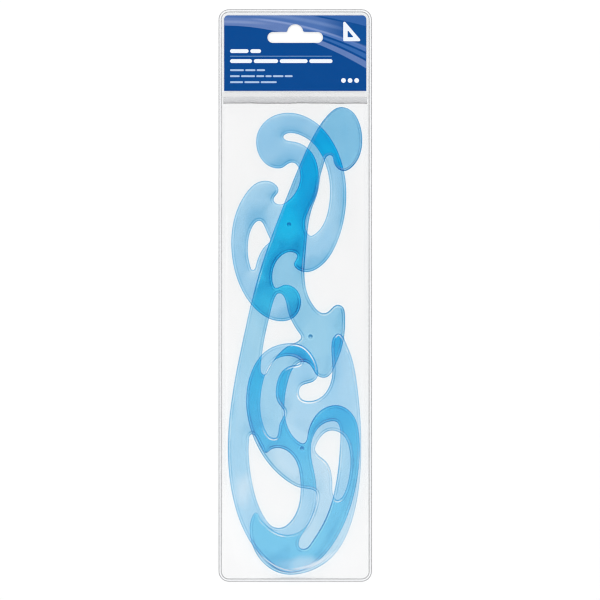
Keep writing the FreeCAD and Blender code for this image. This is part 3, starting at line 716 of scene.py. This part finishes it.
def bridge(bm, rows):
    """Quads between neighbouring closed rows of vertices."""
    for lower, upper in zip(rows, rows[1:]):
        for i in range(len(lower)):
            j = (i + 1) % len(lower)
            bm.faces.new((lower[i], lower[j], upper[j], upper[i]))


def row_edges(bm, row):
    return [bm.edges.get((row[i], row[(i + 1) % len(row)])) for i in range(len(row))]


def fill(bm, edges):
    return bmesh.ops.triangle_fill(bm, use_beauty=True, use_dissolve=False, edges=edges)


def finish_object(name, bm, material, smooth=True):
    bmesh.ops.recalc_face_normals(bm, faces=bm.faces)
    mesh = bpy.data.meshes.new(name)
    bm.to_mesh(mesh)
    bm.free()
    if smooth:
        for polygon in mesh.polygons:
            polygon.use_smooth = True
    mesh.materials.append(material)
    piece = bpy.data.objects.new(name, mesh)
    scene.collection.objects.link(piece)
    return piece


def register(piece, body="wallet", node=None):
    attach(piece, body)
    if node:
        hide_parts(node)


def length(vectors):
    return np.hypot(*vectors.T)


def gaps(ring):
    """Distance from each point of a closed ring to the next."""
    return length(np.roll(ring, -1, 0) - ring)


def underside_loops(node):
    """Outlines of a flat piece's underside, longest first, piece on their left; and its z."""
    bm = bmesh.new()
    bm.from_mesh(nodes[node].data)
    bmesh.ops.remove_doubles(bm, verts=bm.verts, dist=2e-6)
    bm.normal_update()
    z_low = min(vert.co.z for vert in bm.verts)
    under = {face for face in bm.faces
             if all(abs(vert.co.z - z_low) < 1e-6 for vert in face.verts)}
    following = {}
    for face in under:
        for corner in face.loops:
            if sum(1 for other in corner.edge.link_faces if other in under) == 1:
                following[corner.vert.index] = corner.link_loop_next.vert.index
    bm.verts.ensure_lookup_table()
    loops = []
    seen = set()
    for start in sorted(following):
        if start in seen:
            continue
        ring = []
        index = start
        while index not in seen:
            seen.add(index)
            ring.append((bm.verts[index].co.x / MM, bm.verts[index].co.y / MM))
            index = following[index]
        loops.append(np.array(ring))
    bm.free()
    loops.sort(key=lambda ring: -gaps(ring).sum())
    # the underside faces down, so its loops run clockwise seen from above: turn them round
    return [ring[::-1].copy() for ring in loops], z_low / MM


def smooth_ring(ring, spacing):
    """Centripetal Catmull-Rom curve through the ring's points, evenly spaced."""
    def root_gap(start, end):
        return max(length(end - start), 1e-6) ** 0.5

    curve = []
    count = len(ring)
    for i in range(count):
        before, start = ring[i - 1], ring[i]
        end, after = ring[(i + 1) % count], ring[(i + 2) % count]
        gap_in, gap, gap_out = root_gap(before, start), root_gap(start, end), root_gap(end, after)
        slope = (end - start) / gap
        leave = gap * ((start - before) / gap_in - (end - before) / (gap_in + gap) + slope)
        arrive = gap * (slope - (after - start) / (gap + gap_out) + (after - end) / gap_out)
        pieces = max(2, int(length(end - start) / 0.1))
        for s in np.linspace(0, 1, pieces, endpoint=False):
            curve.append((2 * s**3 - 3 * s**2 + 1) * start + (s**3 - 2 * s**2 + s) * leave
                         + (-2 * s**3 + 3 * s**2) * end + (s**3 - s**2) * arrive)
    curve = np.array(curve)
    travelled = np.r_[0, np.cumsum(gaps(curve))]
    points = max(28, int(round(travelled[-1] / spacing)))
    stations = np.linspace(0, travelled[-1], points + 1)[:-1]
    closed = np.vstack([curve, curve[:1]])
    return np.c_[np.interp(stations, travelled, closed[:, 0]),
                 np.interp(stations, travelled, closed[:, 1])]


def inward(ring):
    """Unit normals into the piece, which lies left of the ring."""
    along = np.roll(ring, -1, 0) - np.roll(ring, 1, 0)
    along /= np.maximum(length(along), 1e-9)[:, None]
    return np.c_[-along[:, 1], along[:, 0]]


def free_room(ring, normals, outline_points, most):
    """How far each point can move inward before it meets another edge."""
    room = np.full(len(ring), most)
    for i in range(len(ring)):
        offset = outline_points - ring[i]
        ahead = offset @ normals[i]
        squared = (offset * offset).sum(1)
        facing = (ahead > 1e-6) & (squared > 1e-4) & (squared < (4 * most) ** 2)
        if facing.any():
            room[i] = min(most, (squared[facing] / (2 * ahead[facing])).min())
    # even it out, so that the bevel narrows gently
    for _ in range(6):
        before, after = np.roll(room, 1), np.roll(room, -1)
        room = np.minimum(room, (before + 2 * room + after) / 4 + 0.02)
        room = np.minimum(room, np.minimum(np.roll(room, 1), np.roll(room, -1)) + 0.22)
    return room


# ------------------------------------------------------------------------------------ plates
def build_plate(name, node, material, gate):
    loops, z_low = underside_loops(node)
    low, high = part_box(node)
    thickness = (high.z - low.z) / MM
    rings = [smooth_ring(loop, spacing=0.55) for loop in loops]
    outline_points = np.vstack(rings)
    bm = bmesh.new()
    layers = {key: bm.verts.layers.float.new(key)
              for key in ("edge_mm", "side", "top", "out_x", "out_y")}

    def add_vertex(x, y, rise, **marks):
        vert = vertex(bm, x, y, z_low + rise * thickness / PROFILE_THICKNESS)
        for key, mark in marks.items():
            vert[layers[key]] = mark
        return vert

    low_edges, high_edges = [], []
    for ring in rings:
        normals = inward(ring)
        room = free_room(ring, normals, outline_points, BEVEL_REACH / BEVEL_SHARE)
        scale = np.clip(room * BEVEL_SHARE / BEVEL_REACH, 0.12, 1.0)
        rows = []
        for inset, rise, top, side in PLATE_EDGE:
            points = ring + normals * (inset * scale)[:, None]
            rows.append([
                add_vertex(x, y, rise, edge_mm=inset if top else LINE_REACH,
                           out_x=-in_x, out_y=-in_y, side=side, top=top)
                for (x, y), (in_x, in_y) in zip(points, normals)])
        bridge(bm, rows)
        low_edges += row_edges(bm, rows[0])
        high_edges += row_edges(bm, rows[-1])

    # gate recess: a round dish with leaning walls and the cut-off stub standing in it
    rows = []
    for radius, rise in GATE_DISH:
        row = []
        for k in range(GATE_SEGMENTS):
            angle = 2 * math.pi * k / GATE_SEGMENTS
            rough_cut = 0.02 * math.sin(3 * angle + 0.7) if radius < 0.4 else 0.0
            row.append(add_vertex(gate[0] + radius * math.cos(angle),
                                  gate[1] + radius * math.sin(angle), rise + rough_cut,
                                  edge_mm=LINE_REACH, top=1.0, side=0.0))
        rows.append(row)
    bridge(bm, rows)
    bm.faces.new(rows[-1])
    high_edges += row_edges(bm, rows[0])

    for edges, faces_up in ((low_edges, False), (high_edges, True)):
        for face in fill(bm, edges)["geom"]:
            if isinstance(face, bmesh.types.BMFace):
                face.normal_update()
                if (face.normal.z > 0) != faces_up:
                    face.normal_flip()
    return finish_object(name, bm, material)


# -------------------------------------------------------------------------------- the wallet
def round_rect(half_width, half_length, radius, per_corner):
    """Closed outline, counter-clockwise from the lower right corner."""
    points = []
    for side_x, side_y, start in ((1, -1, -90), (1, 1, 0), (-1, 1, 90), (-1, -1, 180)):
        for k in range(per_corner + 1):
            angle = math.radians(start + 90.0 * k / per_corner)
            points.append((side_x * (half_width - radius) + radius * math.cos(angle),
                           side_y * (half_length - radius) + radius * math.sin(angle)))
    return np.array(points)


def build_rim():
    """The bead round the wallet, two shoulders with a shallow dip between."""
    rise = RIM_TOP / 0.6
    # outer half of its section: in from the outer edge, height
    half = [(0.10, 0.0), (0.0, 0.06), (0.02, 0.20 * rise), (0.10, 0.36 * rise),
            (0.26, 0.50 * rise), (0.48, 0.585 * rise), (0.66, RIM_TOP)]
    section = half + [(BEAD_WIDTH / 2, 0.975 * RIM_TOP)]
    section += [(BEAD_WIDTH - inset, z) for inset, z in reversed(half)]
    bm = bmesh.new()
    across = bm.verts.layers.float.new("across_mm")
    rows = []
    for inset, z in section:
        corners = round_rect(RIM_HALF_WIDTH - inset, RIM_HALF_LENGTH - inset,
                             RIM_CORNER - inset, per_corner=14)
        # straight sides get points of their own
        points = []
        for start, end in zip(corners, np.roll(corners, -1, 0)):
            points.append(start)
            side_length = length(end - start)
            if side_length > 20:
                pieces = 120 if side_length > 200 else 36
                points += [start + (end - start) * s / pieces for s in range(1, pieces)]
        row = []
        for k, (x, y) in enumerate(points):
            # very slight unevenness of the weld
            uneven = 0.0
            if 0.3 < inset < 1.7:
                uneven = 0.006 * math.sin(k * 0.23) * math.sin(k * 0.071 + 1.0)
            vert = vertex(bm, x, y, max(0.0, min(RIM_TOP, z + uneven)))
            vert[across] = inset
            row.append(vert)
        rows.append(row)
    bridge(bm, rows + rows[:1])
    return finish_object("rim_bead", bm, bead_vinyl())


def drape():
    """Height of the front sheet: a membrane welded at the rim, lying over the plates."""
    columns = int(round(2 * INNER_HALF_WIDTH / SHEET_STEP)) + 1
    lines = int(round((MOUTH_Y + INNER_HALF_LENGTH) / SHEET_STEP)) + 1
    xs = np.linspace(-INNER_HALF_WIDTH, INNER_HALF_WIDTH, columns)
    ys = np.linspace(-INNER_HALF_LENGTH, MOUTH_Y, lines)
    floor_z = np.full((columns, lines), SHEET_BASE)
    for node in ("s_curve", "large_curve", "hook_curve"):
        loops, _ = underside_loops(node)
        plate_top = top_of(node) + PLATE_AIR
        outline = smooth_ring(loops[0], spacing=0.3)
        # kept up from the outline's lowest y in each column, a little widened
        for i, x in enumerate(xs):
            near = outline[np.abs(outline[:, 0] - x) < SHEET_STEP * 1.3]
            if len(near):
                y_low = near[:, 1].min() - SHEET_STEP * 1.2
                needed = np.where(ys >= y_low, plate_top, SHEET_BASE)
                floor_z[i] = np.maximum(floor_z[i], needed)
    welded = np.zeros(floor_z.shape, bool)
    welded[0, :] = welded[-1, :] = True
    welded[:, 0] = True
    sheet = floor_z.copy()
    sheet[welded] = SHEET_BASE
    # relax; the mouth edge is free
    for _ in range(2600):
        eased = sheet.copy()
        eased[1:-1, 1:-1] = 0.25 * (sheet[2:, 1:-1] + sheet[:-2, 1:-1]
                                    + sheet[1:-1, 2:] + sheet[1:-1, :-2])
        eased[1:-1, -1] = 0.25 * (sheet[2:, -1] + sheet[:-2, -1] + 2 * sheet[1:-1, -2])
        eased = np.maximum(eased, floor_z)
        eased[welded] = SHEET_BASE
        sheet = eased
    return xs, ys, sheet


def ripples(X, Y):
    """Long soft ripples from 0 to 1, each fading out round its own centre."""
    total = np.zeros_like(X)
    for k in range(9):
        heading = rng.uniform(-0.5, 0.5) + (math.pi / 2 if k % 3 == 0 else 0.0)
        wavelength = rng.uniform(22, 70)
        phase = rng.uniform(0, 6.28)
        centre_x, centre_y = rng.uniform(-30, 30), rng.uniform(-150, 100)
        reach = rng.uniform(30, 90)
        fade = np.exp(-(((X - centre_x) / (reach * 0.6)) ** 2 + ((Y - centre_y) / reach) ** 2))
        along = X * math.cos(heading) + Y * math.sin(heading)
        total += fade * np.sin(along * 2 * math.pi / wavelength + phase)
    total -= total.min()
    total /= total.max()
    return total


def build_front_sheet(material):
    xs, ys, sheet = drape()
    X, Y = np.meshgrid(xs, ys, indexing="ij")
    # ripples only ever lift the sheet, and fade out at the weld
    from_weld = np.minimum(np.minimum(X + INNER_HALF_WIDTH, INNER_HALF_WIDTH - X),
                           Y + INNER_HALF_LENGTH)
    calm = np.clip((from_weld - 1.0) / 7.0, 0, 1) ** 1.5
    heights = sheet + 0.50 * ripples(X, Y) * calm
    # the corner cells follow the rounded inner edge of the bead
    inside = np.ones(X.shape, bool)
    round_x, round_y = X.copy(), Y.copy()
    for side in (-1, 1):
        centre_x = side * (INNER_HALF_WIDTH - INNER_CORNER)
        centre_y = -INNER_HALF_LENGTH + INNER_CORNER
        radius = np.hypot(X - centre_x, Y - centre_y)
        outside = (X * side > centre_x * side) & (Y < centre_y) & (radius > INNER_CORNER)
        for rounded, grid, centre in ((round_x, X, centre_x), (round_y, Y, centre_y)):
            rounded[outside] = (centre + (grid[outside] - centre) * INNER_CORNER
                                / radius[outside])
        inside[outside] = False
        heights[outside] = SHEET_BASE
    bm = bmesh.new()
    columns, lines = X.shape
    grid = [[vertex(bm, round_x[i, j], round_y[i, j], heights[i, j]) for j in range(lines)]
            for i in range(columns)]
    for i in range(columns - 1):
        for j in range(lines - 1):
            if inside[i:i + 2, j:j + 2].any():
                bm.faces.new((grid[i][j], grid[i + 1][j], grid[i + 1][j + 1], grid[i][j + 1]))
    loose = [vert for vert in bm.verts if not vert.link_faces]
    bmesh.ops.delete(bm, geom=loose, context="VERTS")
    bmesh.ops.remove_doubles(bm, verts=bm.verts, dist=1e-5)
    # give the sheet its thickness
    lower_faces = list(bm.faces)
    lift = Vector((0, 0, SHEET_THICKNESS * MM))
    upper = {vert: bm.verts.new(vert.co + lift) for vert in list(bm.verts)}
    border = [edge for edge in bm.edges if len(edge.link_faces) == 1]
    for face in lower_faces:
        bm.faces.new([upper[vert] for vert in face.verts])
    for edge in border:
        start, end = edge.verts
        bm.faces.new((start, end, upper[end], upper[start]))
    return finish_object("front_sheet", bm, material), xs, ys, heights


def build_hem(xs, ys, heights):
    """Folded hem at the mouth, lying on the front sheet."""
    across = np.linspace(0, 1, 9)
    # thickness, fuller at the fold line and again near the mouth
    thickness = (0.16 + 0.10 * np.exp(-((across - 0.06) / 0.07) ** 2)
                 + 0.05 * np.exp(-((across - 0.97) / 0.05) ** 2))
    long_size, long_rate, phase = LONG_WAVE
    short_size, short_rate = SHORT_WAVE
    stations = []
    for x, profile in zip(xs, heights):
        if abs(x) <= INNER_HALF_WIDTH - 0.2:
            wander = (long_size * math.sin(x * long_rate + phase)
                      + short_size * math.sin(x * short_rate))
            row = np.linspace(MOUTH_Y - HEM_WIDTH + wander, MOUTH_Y, len(across))
            stations.append((x, row, np.interp(row, ys, profile) + HEM_LIFT))
    bm = bmesh.new()
    lower = [[vertex(bm, x, y, z) for y, z in zip(row, base)] for x, row, base in stations]
    upper = [[vertex(bm, x, y, z) for y, z in zip(row, base + thickness)]
             for x, row, base in stations]
    last, end = len(stations) - 1, len(across) - 1
    for i in range(last):
        for j in range(end):
            for grid in (lower, upper):
                bm.faces.new((grid[i][j], grid[i + 1][j], grid[i + 1][j + 1], grid[i][j + 1]))
    for i in range(last):
        for j in (0, end):
            bm.faces.new((lower[i][j], lower[i + 1][j], upper[i + 1][j], upper[i][j]))
    for j in range(end):
        for i in (0, last):
            bm.faces.new((lower[i][j + 1], lower[i][j], upper[i][j], upper[i][j + 1]))
    return finish_object("pocket_hem", bm, hem_vinyl())


def build_sheet(name, node, material, gap_low, gap_high, soft=0.03):
    """Flat sheet with its edges broken by soft, and a hair of air below and above."""
    loops, z_low = underside_loops(node)
    z_high = top_of(node) - gap_high
    z_low += gap_low
    bm = bmesh.new()
    low_edges, high_edges = [], []
    for ring in loops:
        ring = ring[gaps(ring) > 0.02]      # drop doubled points, keep corners as they are
        normals = inward(ring)
        section = ((soft, z_low), (0.0, z_low + soft), (0.0, z_high - soft), (soft, z_high))
        rows = [[vertex(bm, x, y, z) for x, y in ring + normals * inset]
                for inset, z in section]
        bridge(bm, rows)
        low_edges += row_edges(bm, rows[0])
        high_edges += row_edges(bm, rows[-1])
    fill(bm, low_edges)
    fill(bm, high_edges)
    register(finish_object(name, bm, material, smooth=False), node=node)


# ------------------------------------------------------------------------- print on the card
PRINT_Z = top_of("header_card") - 0.010
INK_THICKNESS = 0.012
TEXT_LEFT = -37.5497
BOLD_HEIGHT, FINE_HEIGHT = 2.2, 1.05
# greeked lines: right end, y, shares of the line's bars
BOLD_LINES = [(-19.6963, 140.8691, [19, 11]), (21.4817, 135.1099, [19, 21, 24, 20])]
FINE_LINES = [(-17.3927, 129.8691, [15, 11, 9]), (-1.4974, 126.4136, [11, 16, 9, 7, 12, 9]),
              (-10.6545, 122.9581, [13, 15, 16])]
RULE = dict(left=-37.6649, right=21.1937, y=137.9319, height=0.34)
PIP_X, PIP_Y, PIP_PITCH, PIP_RADIUS = 27.8168, 123.9372, 3.80105, 1.35
SQUARE_X, SQUARE_Y = 27.7016, 146.5707      # right-angled corner of the set square


def flat_shapes(name, shapes, material):
    """Thin flat shapes on the card, each a list of outlines (outer, then holes)."""
    bm = bmesh.new()
    for outlines in shapes:
        low_edges, high_edges = [], []
        for points in outlines:
            rows = [[vertex(bm, x, y, z) for x, y in points]
                    for z in (PRINT_Z, PRINT_Z + INK_THICKNESS)]
            bridge(bm, rows)
            low_edges += row_edges(bm, rows[0])
            high_edges += row_edges(bm, rows[1])
        fill(bm, low_edges)
        fill(bm, high_edges)
    register(finish_object(name, bm, material, smooth=False))


def pill(left, right, y, height, segments=7):
    """Bar with rounded ends."""
    radius = min(height, right - left) / 2
    points = []
    for centre, start in ((right - radius, -90), (left + radius, 90)):
        for k in range(segments + 1):
            angle = math.radians(start + 180 * k / segments)
            points.append((centre + radius * math.cos(angle),
                           y + (height / 2) * math.sin(angle)))
    return [points]


def text_bars(lines, height, gap):
    """Greeked lines: bars with small gaps between them."""
    bars = []
    for right, y, shares in lines:
        room = (right - TEXT_LEFT) - gap * (len(shares) - 1)
        x = TEXT_LEFT
        for share in shares:
            width = room * share / sum(shares)
            bars.append(pill(x, x + width, y, height))
            x += width + gap
    return bars


def circle(centre_x, centre_y, radius, segments=28):
    angles = [2 * math.pi * k / segments for k in range(segments)]
    return [(centre_x + radius * math.cos(angle), centre_y + radius * math.sin(angle))
            for angle in angles]


def rounded_polygon(points, radius, segments=6):
    corners = [np.array(point, float) for point in points]
    outline = []
    for i, corner in enumerate(corners):
        back = corners[i - 1] - corner
        ahead = corners[(i + 1) % len(corners)] - corner
        back, ahead = back / length(back), ahead / length(ahead)
        opening = math.acos(max(-1, min(1, float(back @ ahead))))
        tangent = radius / math.tan(opening / 2)
        middle = back + ahead
        centre = corner + middle / length(middle) * radius / math.sin(opening / 2)
        start = math.atan2(*(corner + back * tangent - centre)[::-1])
        end = math.atan2(*(corner + ahead * tangent - centre)[::-1])
        while end - start > math.pi:
            end -= 2 * math.pi
        while end - start < -math.pi:
            end += 2 * math.pi
        for k in range(segments + 1):
            angle = start + (end - start) * k / segments
            outline.append((centre[0] + radius * math.cos(angle),
                            centre[1] + radius * math.sin(angle)))
    return outline


def build_print():
    white = ink_material("white_ink", srgb(243, 246, 251))
    fine_white = ink_material("fine_white_ink", srgb(172, 196, 228))
    flat_shapes("print_bold_lines", text_bars(BOLD_LINES, BOLD_HEIGHT, gap=1.0), white)
    flat_shapes("print_fine_lines", text_bars(FINE_LINES, FINE_HEIGHT, gap=0.75), fine_white)
    flat_shapes("print_rule", [pill(**RULE)], ink_material("rule_ink", srgb(120, 160, 205)))
    pips = [[circle(PIP_X + PIP_PITCH * k, PIP_Y, PIP_RADIUS)] for k in range(3)]
    flat_shapes("print_pips", pips, white)
    # set square with an open middle: corners from its right angle, corner radius
    outlines = [
        rounded_polygon([(SQUARE_X + x, SQUARE_Y + y) for x, y in corners], radius)
        for corners, radius in (([(0, 0), (10.6, 0), (0, 12.4)], 0.7),
                                ([(2.5, 2.3), (6.0, 2.3), (2.5, 6.5)], 0.3))]
    flat_shapes("print_pictogram", [outlines], white)


# ---------------------------------------------------------------------------------- build it
for kind in ("large", "s", "hook"):
    node = kind + "_curve"
    plate = build_plate(node + "_plate", node, plate_plastic(kind), PLATE_LOOKS[kind]["gate"])
    register(plate, body=node + "_body", node=node)

front_vinyl = film("front_sheet_vinyl", keep=0.9955, head_on=0.03, waves=1.0,
                   veil_and_glare=front_veil_and_glare, grey_edge=0.35)
front_sheet, sheet_xs, sheet_ys, sheet_heights = build_front_sheet(front_vinyl)
register(front_sheet, node="front_film")
register(build_hem(sheet_xs, sheet_ys, sheet_heights))
register(build_rim(), node="rim_weld")

build_sheet("back_sheet", "back_film",
            film("back_sheet_vinyl", keep=0.987, head_on=0.02, waves=0.4, graded=(0.25, 1.9)),
            gap_low=0.0, gap_high=0.01)
build_sheet("header_sheet", "header_film",
            film("header_sheet_vinyl", keep=0.996, head_on=0.008, waves=0.15,
                 tone=(0.985, 0.992, 1.0)),
            gap_low=0.02, gap_high=0.0)
build_sheet("cross_bead", "cross_weld",
            film("cross_weld_vinyl", keep=0.948, head_on=0.012, waves=0.2, grey_edge=0.5),
            gap_low=0.005, gap_high=0.0, soft=0.08)
build_sheet("printed_header", "header_card", printed_card(),
            gap_low=0.01, gap_high=0.01)
build_print()


# -------------------------------------------------------------- floor, light, camera; metres
def build_floor():
    """Pale floor, seen through from below."""
    bpy.ops.mesh.primitive_grid_add(x_subdivisions=4, y_subdivisions=4, size=8.0,
                                    location=(0, 0, -0.0003))
    floor = bpy.context.object
    floor.name = "studio_floor"
    net = Graph(bpy.data.materials.new("pale_floor"))
    cloud = net.noise(net.coordinates(), scale=40.0, detail=3.0)
    colour = net.mix(net.linear(cloud, over=(0.3, 0.7)),
                     (0.955, 0.957, 0.96), (0.965, 0.966, 0.968))
    paint = net.shader("BsdfDiffuse", colour)
    # the colour is the node's own default
    clear = net.get(net.add("BsdfTransparent"))
    backfacing = net.add("NewGeometry").outputs["Backfacing"]
    floor.data.materials.append(net.finish(net.blend(backfacing, paint, clear)))


def build_world():
    world = bpy.data.worlds.new("studio")
    scene.world = world
    net = Graph(world)
    x, y, z = net.xyz(net.coordinates("Generated"))
    rays = net.add("LightPath")
    # what shiny faces see: dark straight up, a wide bright bank towards the header side,
    # a dimmer one on the left
    bank = net.smooth(y, over=(0.28, 0.62)) * net.smooth(z, over=(0.15, 0.45))
    left = net.smooth(x * -1.0, over=(0.30, 0.65)) * net.smooth(z, over=(0.1, 0.4))
    off_zenith = net.smooth(z, over=(0.99, 0.80))
    mirrored = 0.06 + off_zenith * 0.45 + bank * 1.3 + left * 0.7
    lighting, reflection, backdrop = [
        net.shader("Background", WHITE, Strength=strength) for strength in (0.99, mirrored, 1.0)]
    shader = net.blend(rays.outputs["Is Glossy Ray"], lighting, reflection)
    shader = net.blend(rays.outputs["Is Camera Ray"], shader, backdrop)
    net.finish(shader, "OutputWorld")


def build_key_light():
    """Large soft disk towards the header side and a little left, aimed at the origin."""
    light = bpy.data.lights.new("key_soft", "AREA")
    light.shape = "DISK"
    light.size = 1.4
    light.energy = 4.0
    lamp = bpy.data.objects.new("key_soft", light)
    lamp.location = (-0.5, 1.1, 1.5)
    lamp.rotation_euler = (-lamp.location).to_track_quat("-Z", "Y").to_euler()
    lamp.visible_glossy = False
    scene.collection.objects.link(lamp)


VIEW_WIDTH = 0.34554974     # what the camera takes in across, at VIEW_Z
VIEW_Z = 0.002


def build_camera():
    """Long lens looking straight down."""
    lens = bpy.data.cameras.new("camera")
    lens.sensor_width = 36.0
    lens.lens = 200.0
    lens.clip_start = 0.05
    lens.clip_end = 20
    camera = bpy.data.objects.new("camera", lens)
    camera.location = (0.00276, -0.00260, VIEW_Z + VIEW_WIDTH * lens.lens / lens.sensor_width)
    scene.collection.objects.link(camera)
    scene.camera = camera


build_floor()
build_world()
build_key_light()
build_camera()

scene.view_settings.view_transform = "Standard"
scene.view_settings.look = "None"
scene.view_settings.exposure = 0.0
scene.view_settings.gamma = 1.0
scene.cycles.transparent_max_bounces = 48
scene.cycles.max_bounces = 24
scene.cycles.use_denoising = True
scene.cycles.filter_width = 1.2
